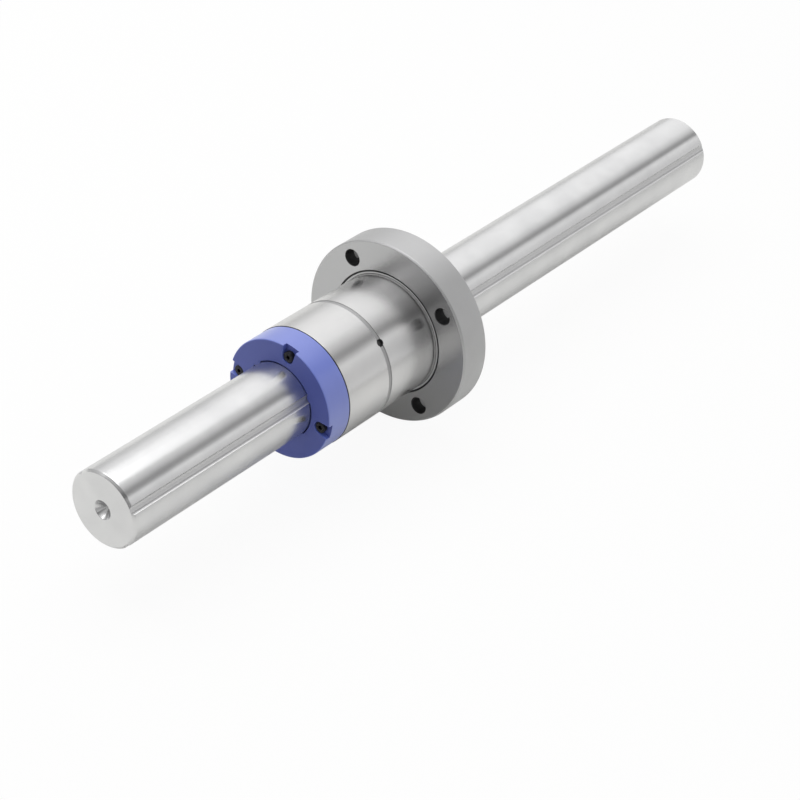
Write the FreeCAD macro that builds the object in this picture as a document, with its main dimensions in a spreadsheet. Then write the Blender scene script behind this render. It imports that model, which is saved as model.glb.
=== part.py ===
import FreeCAD, Part
import math
import os
import Sketcher

# A ball spline: a ground steel shaft with four straight ball tracks, and a flanged nut that
# slides along it on four loops of balls. Lengths are millimetres and angles are degrees.
# The shaft lies along X. X = 0 is the face of the flange that seats on a machine plate, and
# the barrel of the nut goes through that plate towards -X. An angle about the shaft is
# counted from +Y towards +Z.

SIZES = {
    "shaft_diameter": "50",
    "shaft_length": "600",
    "shaft_reach": "255",
    "shaft_chamfer": "1.5",
    "centre_mouth_diameter": "12.5",
    "centre_pilot_diameter": "5",
    "centre_hole_depth": "12",
    "ball_diameter": "7.144",
    "ball_spacing": "0.06",
    "ball_circle_diameter": "54.6",
    "track_clearance": "0.15",
    "row_angle": "35",
    "return_angle": "15",
    "return_circle_diameter": "69.2",
    "return_clearance": "0.13",
    "pass_clearance": "0.08",
    "barrel_diameter": "80",
    "barrel_length": "85",
    "barrel_chamfer": "0.5",
    "bore_clearance": "0.6",
    "flange_diameter": "125",
    "flange_thickness": "23",
    "flange_chamfer": "1",
    "neck_relief_width": "2.5",
    "neck_relief_depth": "1.2",
    "oil_groove_place": "45.5",
    "oil_groove_width": "2",
    "oil_groove_depth": "0.6",
    "oil_hole_diameter": "4",
    "oil_hole_angle": "128.5",
    "bolt_edge_distance": "10.5",
    "bolt_angle": "45",
    "bolt_count": "4",
    "bolt_hole_diameter": "11",
    "counterbore_diameter": "17.5",
    "counterbore_depth": "11",
    "cap_length": "19",
    "cap_step": "0.3",
    "cap_recess_gap": "0.4",
    "cap_bore_clearance": "0.5",
    "cap_chamfer": "0.6",
    "wiper_clearance": "0.3",
    "wiper_lead": "0.4",
    "screw_circle_diameter": "66",
    "screw_diameter": "4",
    "screw_length": "25",
    "screw_head_diameter": "7",
    "screw_head_height": "2.8",
    "screw_key_width": "2.5",
    "screw_key_depth": "1.6",
    "screw_hole_clearance": "0.2",
    "screw_thread_clearance": "0.05",
    "tapped_hole_spare": "3",
    "pocket_diameter": "8.4",
    "pocket_depth": "3.2",
    "pocket_mouth_width": "10",
    "retainer_lift": "0.1",
    "retainer_thickness": "0.5",
    "retainer_width": "9",
    "retainer_slot_width": "6.5",
    "retainer_window_width": "8",
    "retainer_bridge_width": "2.4",
    "retainer_clearance": "0.05",
    "guide_lip_radius": "3.6",
    "guide_clearance": "0.05",
}

# Lengths and places that follow from the sizes above. The ones that end in _angle or _tilt
# are plain degrees. A turn is the half circle in an end cap that carries the balls from the
# loaded row to the return row; its middle lies half way between the two rows.
LAYOUT = {
    "shaft_radius": "size.shaft_diameter / 2",
    "ball_radius": "size.ball_diameter / 2",
    "row_radius": "size.ball_circle_diameter / 2",
    "return_radius": "size.return_circle_diameter / 2",
    "track_arc": "layout.ball_radius + size.track_clearance",
    "return_hole": "layout.ball_radius + size.return_clearance",
    "pass_radius": "layout.ball_radius + size.pass_clearance",
    "bore_radius": "layout.shaft_radius + size.bore_clearance",
    "barrel_radius": "size.barrel_diameter / 2",
    "flange_radius": "size.flange_diameter / 2",
    "bolt_circle_radius": "layout.flange_radius - size.bolt_edge_distance",
    "cap_radius": "layout.barrel_radius - size.cap_step",
    "cap_bore": "layout.shaft_radius + size.cap_bore_clearance",
    "recess_radius": "layout.cap_radius + size.cap_recess_gap",
    "steel_end": "size.flange_thickness - size.cap_length",
    "run_length": "size.barrel_length + layout.steel_end",
    "run_middle": "(layout.steel_end - size.barrel_length) / 2",
    "turn_out": "layout.return_radius * cos(size.return_angle) - layout.row_radius",
    "turn_side": "layout.return_radius * sin(size.return_angle)",
    "turn_radius": "sqrt(layout.turn_out ^ 2 + layout.turn_side ^ 2) / 2",
    "turn_tilt": "atan2(layout.turn_side; layout.turn_out) / 1 deg",
    "turn_middle_out": "layout.row_radius + layout.turn_out / 2",
    "turn_middle_radius": "sqrt(layout.turn_middle_out ^ 2 + (layout.turn_side / 2) ^ 2)",
    "turn_middle_angle": "atan2(layout.turn_side / 2; layout.turn_middle_out) / 1 deg",
    "screw_seat": "size.cap_length - size.pocket_depth",
    "screw_circle_radius": "size.screw_circle_diameter / 2",
    "screw_grip": "size.screw_length - layout.screw_seat",
    "retainer_back": "layout.shaft_radius + size.retainer_lift + size.retainer_thickness",
    "retainer_end": "layout.turn_radius + layout.pass_radius - size.retainer_clearance",
}

doc = FreeCAD.newDocument("ball_spline")


def make_sheet():
    """Write the driving dimensions into a spreadsheet, one named cell for each."""
    sheet = doc.addObject("Spreadsheet::Sheet", "size")
    for row, (name, number) in enumerate(SIZES.items(), start=1):
        sheet.set(f"A{row}", name)
        sheet.set(f"B{row}", number)
        sheet.setAlias(f"B{row}", name)
    doc.recompute()
    return sheet


def make_layout():
    """Hold the derived lengths and places, each bound to the sheet by its formula."""
    layout = doc.addObject("App::VarSet", "layout")
    for name, formula in LAYOUT.items():
        layout.addProperty("App::PropertyFloat", name, "Layout")
        layout.setExpression(name, formula)
    doc.recompute()
    return layout


size = make_sheet()
layout = make_layout()


def value(formula):
    """Work out a formula of the sheet as a plain number."""
    result = layout.evalExpression(formula)
    return float(getattr(result, "Value", result))


def new_body(label):
    """Start a body that holds one sub-part, named after its file."""
    body = doc.addObject("PartDesign::Body", label)
    body.Label = label
    body.AllowCompound = True
    return body


def origin_feature(body, role):
    """Find a plane or an axis of the body's own origin."""
    return next(item for item in body.Origin.OriginFeatures if item.Role == role)


ALONG_SHAFT = FreeCAD.Vector(1, 0, 0)
UPRIGHT = FreeCAD.Vector(0, 0, 1)


def new_sketch(body, name, plane="YZ_Plane", across="0", up="0", out="0", turn="0", about=UPRIGHT):
    """Attach a sketch to an origin plane, shifted along and turned about axes by formulas."""
    sketch = body.newObject("Sketcher::SketchObject", name)
    sketch.AttachmentSupport = [(origin_feature(body, plane), "")]
    sketch.MapMode = "FlatFace"
    sketch.AttachmentOffset = FreeCAD.Placement(FreeCAD.Vector(), FreeCAD.Rotation(about, 1))
    sketch.setExpression("AttachmentOffset.Base.x", across)
    sketch.setExpression("AttachmentOffset.Base.y", up)
    sketch.setExpression("AttachmentOffset.Base.z", out)
    sketch.setExpression("AttachmentOffset.Rotation.Angle", turn)
    doc.recompute()
    return sketch


# The numbers by which a sketch names its axes, its root point and the points of an edge.
V_AXIS, H_AXIS = range(-2, 0)
ROOT = H_AXIS
START, END, CENTRE = range(1, 4)


def pin(sketch, geometry, point, across=None, up=None):
    """Hold one point of a sketch at formulas for its place across and up the sketch."""
    for kind, formula, axis in (("DistanceX", across, V_AXIS), ("DistanceY", up, H_AXIS)):
        if formula is None:
            continue
        if formula == "0":
            sketch.addConstraint(Sketcher.Constraint("PointOnObject", geometry, point, axis))
            continue
        distance = Sketcher.Constraint(kind, ROOT, START, geometry, point, value(formula))
        index = sketch.addConstraint(distance)
        sketch.setExpression(f"Constraints[{index}]", formula)


def draw_circle(sketch, radius, across, up="0"):
    """Draw one circle with its radius and centre tied to the sheet."""
    centre = FreeCAD.Vector(value(across), value(up), 0)
    circle = sketch.addGeometry(Part.Circle(centre, UPRIGHT, value(radius)))
    index = sketch.addConstraint(Sketcher.Constraint("Radius", circle, value(radius)))
    sketch.setExpression(f"Constraints[{index}]", radius)
    pin(sketch, circle, CENTRE, across, up)


def draw_outline(sketch, corners):
    """Draw a closed outline of straight edges through corners given by formulas."""
    places = [FreeCAD.Vector(value(across), value(up), 0) for across, up in corners]
    edges = [sketch.addGeometry(Part.LineSegment(start, end))
             for start, end in zip(places, places[1:] + places[:1])]
    for edge, following in zip(edges, edges[1:] + edges[:1]):
        sketch.addConstraint(Sketcher.Constraint("Coincident", edge, END, following, START))
    for edge, (across, up) in zip(edges, corners):
        pin(sketch, edge, START, across, up)


def draw_arc_outline(sketch, centre, radius, chord, corners, nose):
    """Draw a closed outline of one arc, symmetric about the H axis, and straight edges.

    The arc's centre lies at (centre, 0) and both its ends at the distance chord across. It
    passes through the far side of its circle with nose 1 and the near side with nose -1.
    The corners lead from the arc's end back to its start.
    """
    middle = FreeCAD.Vector(value(centre), 0, 0)
    half = math.acos((value(chord) - value(centre)) / value(radius))
    first, last = (-half, half) if nose > 0 else (half, 2 * math.pi - half)
    circle = Part.Circle(middle, UPRIGHT, value(radius))
    arc = sketch.addGeometry(Part.ArcOfCircle(circle, first, last))
    index = sketch.addConstraint(Sketcher.Constraint("Radius", arc, value(radius)))
    sketch.setExpression(f"Constraints[{index}]", radius)
    pin(sketch, arc, CENTRE, centre, "0")
    pin(sketch, arc, START, chord)
    pin(sketch, arc, END, chord)
    ends = [middle + FreeCAD.Vector(value(radius) * math.cos(angle), value(radius) * math.sin(angle), 0)
            for angle in (last, first)]
    places = [FreeCAD.Vector(value(across), value(up), 0) for across, up in corners]
    stops = [ends[0]] + places + [ends[1]]
    edges = [sketch.addGeometry(Part.LineSegment(start, end)) for start, end in zip(stops, stops[1:])]
    sketch.addConstraint(Sketcher.Constraint("Coincident", arc, END, edges[0], START))
    for edge, following in zip(edges, edges[1:]):
        sketch.addConstraint(Sketcher.Constraint("Coincident", edge, END, following, START))
    sketch.addConstraint(Sketcher.Constraint("Coincident", edges[-1], END, arc, START))
    for edge, (across, up) in zip(edges, corners):
        pin(sketch, edge, END, across, up)


def add_prism(body, kind, name, sketch, depth=None, reverse=False):
    """Add a Pad or a Pocket of a sketch; a pocket without a depth goes through all."""
    feature = body.newObject(f"PartDesign::{kind}", name)
    feature.Profile = sketch
    feature.Reversed = reverse
    if depth is None:
        feature.Type = "ThroughAll"
    else:
        feature.setExpression("Length", depth)
    sketch.Visibility = False
    return feature


def add_turned(body, kind, name, sketch, axis, angle=360, reverse=False):
    """Add a Revolution or a Groove of a sketch about one of the sketch's own axes."""
    feature = body.newObject(f"PartDesign::{kind}", name)
    feature.Profile = sketch
    feature.ReferenceAxis = (sketch, [axis])
    feature.Angle = angle
    feature.Reversed = reverse
    sketch.Visibility = False
    return feature


def repeat_round(body, name, features, count):
    """Repeat features evenly about the shaft's axis; count is a number or a formula."""
    doc.recompute()
    pattern = body.newObject("PartDesign::PolarPattern", name)
    pattern.Originals = features
    pattern.Axis = (origin_feature(body, "X_Axis"), [""])
    pattern.Angle = 360
    if isinstance(count, str):
        pattern.setExpression("Occurrences", count)
    else:
        pattern.Occurrences = count
    body.Tip = pattern
    return pattern


# The four rows of balls lie in pairs, and each pair sends its balls back on the side of the
# other: sense is 1 where the return row lies at a larger angle than the loaded one.
ROWS = [
    ("1", "size.row_angle", 1),
    ("2", "(180 - size.row_angle)", -1),
    ("3", "(180 + size.row_angle)", 1),
    ("4", "(360 - size.row_angle)", -1),
]
CAP_SCREWS = len(ROWS)


def turn_frame(angle, sense):
    """Place a sketch at the middle of a turn, its H axis from the loaded to the return row."""
    middle = f"({angle} + {sense} * layout.turn_middle_angle)"
    return {
        "across": f"layout.turn_middle_radius * cos{middle}",
        "up": f"layout.turn_middle_radius * sin{middle}",
        "turn": f"{angle} + {sense} * layout.turn_tilt",
    }


def make_shaft():
    """Spline shaft: a ground bar with four round-bottomed tracks and centre holes."""
    body = new_body("spline_shaft")
    start = "-size.shaft_reach"
    end = "(size.shaft_length - size.shaft_reach)"
    mouth = "size.centre_mouth_diameter / 2"
    pilot = "size.centre_pilot_diameter / 2"
    cone = "(size.centre_mouth_diameter - size.centre_pilot_diameter) / 2 / tan(30)"
    tip = "size.centre_hole_depth + size.centre_pilot_diameter / 2 / tan(60)"
    shoulder = "layout.shaft_radius - size.shaft_chamfer"
    sketch = new_sketch(body, "shaft_profile", "XY_Plane")
    draw_outline(sketch, [
        (f"{start} + {tip}", "0"),
        (f"{start} + size.centre_hole_depth", pilot),
        (f"{start} + {cone}", pilot),
        (start, mouth),
        (start, shoulder),
        (f"{start} + size.shaft_chamfer", "layout.shaft_radius"),
        (f"{end} - size.shaft_chamfer", "layout.shaft_radius"),
        (end, shoulder),
        (end, mouth),
        (f"{end} - {cone}", pilot),
        (f"{end} - size.centre_hole_depth", pilot),
        (f"{end} - ({tip})", "0"),
    ])
    add_turned(body, "Revolution", "shaft_bar", sketch, "H_Axis")
    for name, angle, _ in ROWS:
        track = new_sketch(body, f"track_{name}_section", out=end, turn=angle)
        draw_circle(track, "layout.track_arc", "layout.row_radius")
        add_prism(body, "Pocket", f"track_{name}", track)
    return body


def make_nut():
    """Nut: one hardened steel body of barrel and flange, with its tracks and holes."""
    body = new_body("nut_body")
    back = "-size.barrel_length"
    face = "size.flange_thickness"
    groove_start = "-size.oil_groove_place - size.oil_groove_width / 2"
    groove_end = "-size.oil_groove_place + size.oil_groove_width / 2"
    groove_floor = "layout.barrel_radius - size.oil_groove_depth"
    relief_top = "layout.barrel_radius + size.neck_relief_width"
    sketch = new_sketch(body, "nut_profile", "XY_Plane")
    draw_outline(sketch, [
        (back, "layout.bore_radius"),
        (back, "layout.barrel_radius - size.barrel_chamfer"),
        (f"{back} + size.barrel_chamfer", "layout.barrel_radius"),
        (groove_start, "layout.barrel_radius"),
        (groove_start, groove_floor),
        (groove_end, groove_floor),
        (groove_end, "layout.barrel_radius"),
        ("size.neck_relief_depth", "layout.barrel_radius"),
        ("size.neck_relief_depth", relief_top),
        ("0", relief_top),
        ("0", "layout.flange_radius - size.flange_chamfer"),
        ("size.flange_chamfer", "layout.flange_radius"),
        (f"{face} - size.flange_chamfer", "layout.flange_radius"),
        (face, "layout.flange_radius - size.flange_chamfer"),
        (face, "layout.recess_radius"),
        ("layout.steel_end", "layout.recess_radius"),
        ("layout.steel_end", "layout.bore_radius"),
    ])
    add_turned(body, "Revolution", "nut_blank", sketch, "H_Axis")
    for name, angle, sense in ROWS:
        cut_row(body, name, angle, sense)
    cut_bolt_holes(body)
    cut_tapped_holes(body, "barrel", back, True)
    cut_tapped_holes(body, "flange", "layout.steel_end", False)
    cut_oil_holes(body)
    return body


def cut_row(body, name, angle, sense):
    """Cut one row's ball track, the seat of its retainer and its return hole."""
    channel = new_sketch(body, f"channel_{name}_section", out="layout.steel_end", turn=angle)
    inside = "layout.shaft_radius - layout.ball_radius"
    draw_arc_outline(channel, "layout.row_radius", "layout.track_arc", "layout.row_radius",
                     [(inside, "layout.track_arc"), (inside, "-layout.track_arc")], 1)
    add_prism(body, "Pocket", f"channel_{name}", channel)
    seat = new_sketch(body, f"retainer_seat_{name}_section", out="layout.steel_end", turn=angle)
    half = "(size.retainer_width / 2 + size.retainer_clearance)"
    draw_outline(seat, [
        (inside, f"-{half}"),
        ("layout.retainer_back", f"-{half}"),
        ("layout.retainer_back", half),
        (inside, half),
    ])
    add_prism(body, "Pocket", f"retainer_seat_{name}", seat)
    turn = f"{angle} + {sense} * size.return_angle"
    hole = new_sketch(body, f"return_hole_{name}_section", out="layout.steel_end", turn=turn)
    draw_circle(hole, "layout.return_hole", "layout.return_radius")
    add_prism(body, "Pocket", f"return_hole_{name}", hole)


def cut_bolt_holes(body):
    """Drill and counterbore the flange for its fixing bolts, from the flange's end face."""
    circle = "layout.bolt_circle_radius"
    place = {"out": "size.flange_thickness", "turn": "size.bolt_angle"}
    hole = new_sketch(body, "bolt_hole_section", **place)
    draw_circle(hole, "size.bolt_hole_diameter / 2", circle)
    drilled = add_prism(body, "Pocket", "bolt_hole", hole)
    head = new_sketch(body, "counterbore_section", **place)
    draw_circle(head, "size.counterbore_diameter / 2", circle)
    bored = add_prism(body, "Pocket", "counterbore", head, "size.counterbore_depth")
    repeat_round(body, "bolt_holes", [drilled, bored], "size.bolt_count")


def cut_tapped_holes(body, end, place, reverse):
    """Drill the holes that the cap screws thread into, from one steel end face."""
    section = new_sketch(body, f"tapped_hole_{end}_section", out=place)
    radius = "size.screw_diameter / 2 + size.screw_thread_clearance"
    draw_circle(section, radius, "layout.screw_circle_radius")
    depth = "layout.screw_grip + size.tapped_hole_spare"
    hole = add_prism(body, "Pocket", f"tapped_hole_{end}", section, depth, reverse)
    repeat_round(body, f"tapped_holes_{end}", [hole], CAP_SCREWS)


def cut_oil_holes(body):
    """Drill two opposite oil holes from the barrel's groove into the return holes."""
    for name, angle in (("upper", "size.oil_hole_angle"), ("lower", "(size.oil_hole_angle + 180)")):
        section = new_sketch(
            body, f"oil_hole_{name}_section", "XY_Plane",
            across="-size.oil_groove_place",
            up=f"layout.return_radius * cos({angle})",
            out=f"layout.return_radius * sin({angle})",
            turn=f"{angle} - 90",
            about=ALONG_SHAFT,
        )
        draw_circle(section, "size.oil_hole_diameter / 2", "0")
        depth = "layout.barrel_radius - layout.return_radius + size.oil_groove_depth"
        add_prism(body, "Pocket", f"oil_hole_{name}", section, depth, True)


def make_cap(label):
    """End cap: a moulded ring that turns the balls round and wipes the shaft's tracks."""
    body = new_body(label)
    far = "size.cap_length"
    rim = "layout.cap_radius - size.cap_chamfer"
    mouth = "layout.cap_bore + size.wiper_lead"
    sketch = new_sketch(body, f"{label}_profile", "XY_Plane")
    draw_outline(sketch, [
        ("0", "layout.cap_bore"),
        ("0", "layout.cap_radius"),
        (f"{far} - size.cap_chamfer", "layout.cap_radius"),
        (far, rim),
        (far, mouth),
        (f"{far} - size.wiper_lead", "layout.cap_bore"),
    ])
    add_turned(body, "Revolution", f"{label}_ring", sketch, "H_Axis")
    for name, angle, sense in ROWS:
        add_wiper(body, f"{label}_{name}", angle)
        cut_turn(body, f"{label}_{name}", angle, sense)
    cut_screw_pockets(body, label)
    return body


def add_wiper(body, name, angle):
    """Add one tongue that reaches into a track of the shaft, behind the retainer's end."""
    tongue_start = "layout.retainer_end + size.retainer_clearance"
    section = new_sketch(body, f"{name}_tongue_section", out=tongue_start, turn=angle)
    draw_circle(section, "layout.track_arc - size.wiper_clearance", "layout.row_radius")
    add_prism(body, "Pad", f"{name}_tongue", section, f"size.cap_length - ({tongue_start})")


def cut_turn(body, name, angle, sense):
    """Cut one turn of the balls and the pocket that the end of a retainer lies in."""
    section = new_sketch(body, f"{name}_turn_section", **turn_frame(angle, sense))
    draw_arc_outline(section, "layout.turn_radius", "layout.pass_radius", "layout.turn_radius",
                     [("0", "layout.pass_radius"), ("0", "-layout.pass_radius")], 1)
    add_turned(body, "Groove", f"{name}_turn", section, "V_Axis", 180, True)
    half = "(size.retainer_width / 2 + size.retainer_clearance)"
    inside = "layout.shaft_radius - layout.ball_radius"
    seat = new_sketch(body, f"{name}_seat_section", turn=angle)
    draw_outline(seat, [
        (inside, f"-{half}"),
        ("layout.retainer_back", f"-{half}"),
        ("layout.retainer_back", half),
        (inside, half),
    ])
    depth = "layout.retainer_end + size.retainer_clearance"
    add_prism(body, "Pocket", f"{name}_seat", seat, depth, True)


def cut_screw_pockets(body, label):
    """Sink each screw head in a pocket that opens through the rim of the cap."""
    section = new_sketch(body, f"{label}_pocket_section", out="size.cap_length")
    outside = "layout.cap_radius + size.cap_chamfer"
    half = "size.pocket_mouth_width / 2"
    draw_arc_outline(section, "layout.screw_circle_radius", "size.pocket_diameter / 2",
                     "layout.screw_circle_radius", [(outside, f"-{half}"), (outside, half)], -1)
    pocket = add_prism(body, "Pocket", f"{label}_pocket", section, "size.pocket_depth")
    bore = new_sketch(body, f"{label}_screw_hole_section", out="size.cap_length")
    draw_circle(bore, "size.screw_diameter / 2 + size.screw_hole_clearance",
                "layout.screw_circle_radius")
    hole = add_prism(body, "Pocket", f"{label}_screw_hole", bore)
    repeat_round(body, f"{label}_screw_places", [pocket, hole], CAP_SCREWS)


def make_cap_screws(label):
    """Low head cap screws, four to a cap, on the seats of its pockets."""
    body = new_body(label)
    circle = "layout.screw_circle_radius"
    tip = "layout.screw_seat - size.screw_length"
    top = "layout.screw_seat + size.screw_head_height"
    head = "size.screw_head_diameter / 2"
    shank = "size.screw_diameter / 2"
    edge = "size.screw_diameter / 10"
    sketch = new_sketch(body, f"{label}_profile", "XY_Plane", up=circle)
    draw_outline(sketch, [
        (tip, "0"),
        (tip, f"{shank} - {edge}"),
        (f"{tip} + {edge}", shank),
        ("layout.screw_seat", shank),
        ("layout.screw_seat", head),
        (f"{top} - {edge}", head),
        (top, f"{head} - {edge}"),
        (top, "0"),
    ])
    turned = add_turned(body, "Revolution", f"{label}_turned", sketch, "H_Axis")
    socket = new_sketch(body, f"{label}_socket_section", out=top)
    corner = "size.screw_key_width / 2 / cos(30)"
    draw_outline(socket, [
        (f"{circle} + {corner} * cos({angle})", f"{corner} * sin({angle})")
        for angle in range(30, 390, 60)
    ])
    key = add_prism(body, "Pocket", f"{label}_socket", socket, "size.screw_key_depth")
    repeat_round(body, f"{label}_set", [turned, key], CAP_SCREWS)
    return body


def make_guide(label, angle, sense):
    """Turn guide: the half spool that fills the inside of one turn of the balls."""
    body = new_body(label)
    half = "(layout.pass_radius - size.guide_clearance)"
    lip = "size.guide_lip_radius"
    sketch = new_sketch(body, f"{label}_section", **turn_frame(angle, sense))
    draw_arc_outline(sketch, "layout.turn_radius", "layout.pass_radius", lip,
                     [(lip, f"-{half}"), ("0", f"-{half}"), ("0", half), (lip, half)], -1)
    add_turned(body, "Revolution", f"{label}_spool", sketch, "V_Axis", 180, True)
    trim = new_sketch(body, f"{label}_trim_section")
    draw_circle(trim, "layout.retainer_back + size.retainer_width / 10", "0")
    add_prism(body, "Pocket", f"{label}_trim", trim, "layout.turn_radius", True)
    return body


def make_retainer(label, angle):
    """Ball retainer: a thin strip with a slot that the loaded balls show through."""
    body = new_body(label)
    start = "(-size.barrel_length - layout.retainer_end)"
    end = "(layout.steel_end + layout.retainer_end)"
    half = "size.retainer_width / 2"
    slot = "size.retainer_slot_width / 2"
    window = "size.retainer_window_width / 2"
    plate = new_sketch(body, f"{label}_plate_section", "XY_Plane",
                       out="layout.retainer_back - size.retainer_thickness")
    draw_outline(plate, [(start, f"-{half}"), (end, f"-{half}"), (end, half), (start, half)])
    add_prism(body, "Pad", f"{label}_plate", plate, "size.retainer_thickness")
    opening = new_sketch(body, f"{label}_slot_section", "XY_Plane", out="layout.retainer_back")
    near = f"{start} + size.retainer_bridge_width"
    far = f"{end} - size.retainer_bridge_width"
    lower = [(near, f"-{window}"), ("-size.barrel_length", f"-{window}"),
             ("-size.barrel_length", f"-{slot}"), ("layout.steel_end", f"-{slot}"),
             ("layout.steel_end", f"-{window}"), (far, f"-{window}")]
    upper = [(across, up.lstrip("-")) for across, up in reversed(lower)]
    draw_outline(opening, lower + upper)
    add_prism(body, "Pocket", f"{label}_slot", opening)
    body.Placement = FreeCAD.Placement(FreeCAD.Vector(), FreeCAD.Rotation(ALONG_SHAFT, 1))
    body.setExpression("Placement.Rotation.Angle", f"{angle} - 90")
    return body


def circuit_places():
    """Spread the balls of one loop evenly, from the middle of the loaded row.

    Balls on a bend stand further apart along it than their straight distance, so the bends
    count for less than their length. Returns for each ball its place along the shaft from
    the middle of the run and its share of the way from the loaded row to the return row.
    """
    run = value("layout.run_length")
    turn = value("layout.turn_radius")
    pitch = value("size.ball_diameter + size.ball_spacing")
    bend_share = pitch / (2 * turn * math.asin(pitch / (2 * turn)))
    bend = math.pi * turn * bend_share
    loop = 2 * (run + bend)
    count = int(loop // pitch)
    places = []
    for index in range(count):
        travel = (loop * index / count + run / 2) % loop
        if travel <= run:
            places.append((travel - run / 2, 0.0))
        elif travel <= run + bend:
            angle = math.pi * (travel - run) / bend
            places.append((run / 2 + turn * math.sin(angle), (1 - math.cos(angle)) / 2))
        elif travel <= 2 * run + bend:
            places.append((run / 2 - (travel - run - bend), 1.0))
        else:
            angle = math.pi * (travel - 2 * run - bend) / bend
            places.append((-run / 2 - turn * math.sin(angle), (1 + math.cos(angle)) / 2))
    return places


def make_balls(label, angle, sense, loaded):
    """Balls of one loop: the loaded row, or the ones on their way back."""
    row = math.radians(value(angle))
    back = row + sense * math.radians(value("size.return_angle"))
    inner = FreeCAD.Vector(0, math.cos(row), math.sin(row)) * value("layout.row_radius")
    outer = FreeCAD.Vector(0, math.cos(back), math.sin(back)) * value("layout.return_radius")
    middle = FreeCAD.Vector(value("layout.run_middle"), 0, 0)
    places = [place for place in circuit_places() if (place[1] == 0) == loaded]
    balls = []
    for index, (along, share) in enumerate(places):
        ball = doc.addObject("Part::Sphere", f"{label}_ball_{index + 1}")
        ball.setExpression("Radius", "layout.ball_radius")
        ball.Placement.Base = middle + FreeCAD.Vector(along, 0, 0) + inner + (outer - inner) * share
        balls.append(ball)
    group = doc.addObject("Part::Compound", label)
    group.Label = label
    group.Links = balls
    return group


def seat_at_end(body, end):
    """Move a piece modelled on a steel end face to the flange end or the barrel end."""
    if end == "flange":
        body.setExpression("Placement.Base.x", "layout.steel_end")
        return
    body.Placement = FreeCAD.Placement(FreeCAD.Vector(), FreeCAD.Rotation(UPRIGHT, 180))
    body.setExpression("Placement.Base.x", "-size.barrel_length")


def make_parts():
    """Build every sub-part and return them in the order of their files."""
    parts = [make_shaft(), make_nut()]
    for end in ("barrel", "flange"):
        fittings = [make_cap(f"end_cap_{end}"), make_cap_screws(f"cap_screws_{end}")]
        for name, angle, sense in ROWS:
            if end == "barrel":
                angle, sense = f"(180 - {angle})", -sense
            fittings.append(make_guide(f"turn_guide_{end}_{name}", angle, sense))
        for fitting in fittings:
            seat_at_end(fitting, end)
        parts += fittings
    for name, angle, sense in ROWS:
        parts.append(make_retainer(f"ball_retainer_{name}", angle))
        parts.append(make_balls(f"loaded_balls_{name}", angle, sense, True))
        parts.append(make_balls(f"return_balls_{name}", angle, sense, False))
    return parts


def check_document(parts):
    """Stop if any object failed to recompute or any sub-part is not a valid shape."""
    for item in doc.Objects:
        if "Invalid" in item.State or "Error" in item.State:
            raise RuntimeError(f"{item.Name} did not recompute")
    for part in parts:
        if part.Shape.isNull() or not part.Shape.isValid():
            raise RuntimeError(f"{part.Label} has no valid shape")


def export_parts(parts):
    """Write each sub-part to its own file."""
    os.makedirs("parts", exist_ok=True)
    for part in parts:
        shape = part.Shape
        shape.exportStep(f"parts/{part.Label}.step")
        print(f"{part.Label}: {len(shape.Solids)} solids, {shape.Volume:.1f} mm3")


parts = make_parts()
doc.recompute()
check_document(parts)
export_parts(parts)
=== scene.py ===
import logging
import math
from dataclasses import dataclass
from enum import Enum
from typing import Sequence

import bmesh
import bpy
from bmesh.types import BMEdge, BMFace, BMVert, BMesh
from bpy.types import ID, Material, Node, NodeSocket, NodeTree, Object
from mathutils import Matrix, Vector


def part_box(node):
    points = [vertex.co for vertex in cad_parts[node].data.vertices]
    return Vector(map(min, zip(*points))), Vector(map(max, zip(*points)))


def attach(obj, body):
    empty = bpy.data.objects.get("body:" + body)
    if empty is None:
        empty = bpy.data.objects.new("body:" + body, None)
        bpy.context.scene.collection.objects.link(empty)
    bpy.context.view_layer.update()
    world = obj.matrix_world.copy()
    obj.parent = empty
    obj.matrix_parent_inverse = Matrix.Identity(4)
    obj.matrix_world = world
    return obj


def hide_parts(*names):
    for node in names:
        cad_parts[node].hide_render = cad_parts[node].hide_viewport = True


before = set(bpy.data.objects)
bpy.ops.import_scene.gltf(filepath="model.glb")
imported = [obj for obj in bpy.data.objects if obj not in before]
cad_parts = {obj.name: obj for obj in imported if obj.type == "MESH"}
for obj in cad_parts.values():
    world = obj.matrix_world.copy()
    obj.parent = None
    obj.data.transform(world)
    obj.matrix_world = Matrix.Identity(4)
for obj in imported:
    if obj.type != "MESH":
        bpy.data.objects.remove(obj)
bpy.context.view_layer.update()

# A ball spline dressed for its portrait. The shaft lies along X, and X = 0 is the seat face
# of the nut's flange. An angle about the shaft is counted from +Y towards +Z. Sizes in the
# classes are millimetres and every mesh is in metres.

LOG = logging.getLogger("ball_spline")
SMOOTH_BELOW = math.radians(28)
MERGE_DISTANCE = 1e-6
ROUND_STEPS = 256
EDGE_SEGMENTS = 3
MIDDLE_OF_NOISE = (0.3, 0.7)
WHITE = (1.0, 1.0, 1.0, 1.0)
MM_IN_METRE = 1000.0

# A direction counts as along X from this share on. The margins are millimetres: what a face's
# middle may be off a wall, off a flat face, and off the seat face itself.
ALONG_SHARE = 0.9
WALL_MARGIN = 0.1
FACE_MARGIN = 0.5
SEAT_MARGIN = 0.05


def mm(length: float) -> float:
    """Turn millimetres into metres."""
    return length / MM_IN_METRE


def around(radius: float, degrees: float, along: float = 0.0) -> Vector:
    """Give the point at a radius and an angle about the shaft.

    Args:
        radius: distance from the shaft's axis, in millimetres.
        degrees: angle from +Y towards +Z.
        along: place along the shaft, in millimetres.

    Returns:
        The point in metres.
    """
    turn = math.radians(degrees)
    return Vector((mm(along), mm(radius) * math.cos(turn), mm(radius) * math.sin(turn)))


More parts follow.
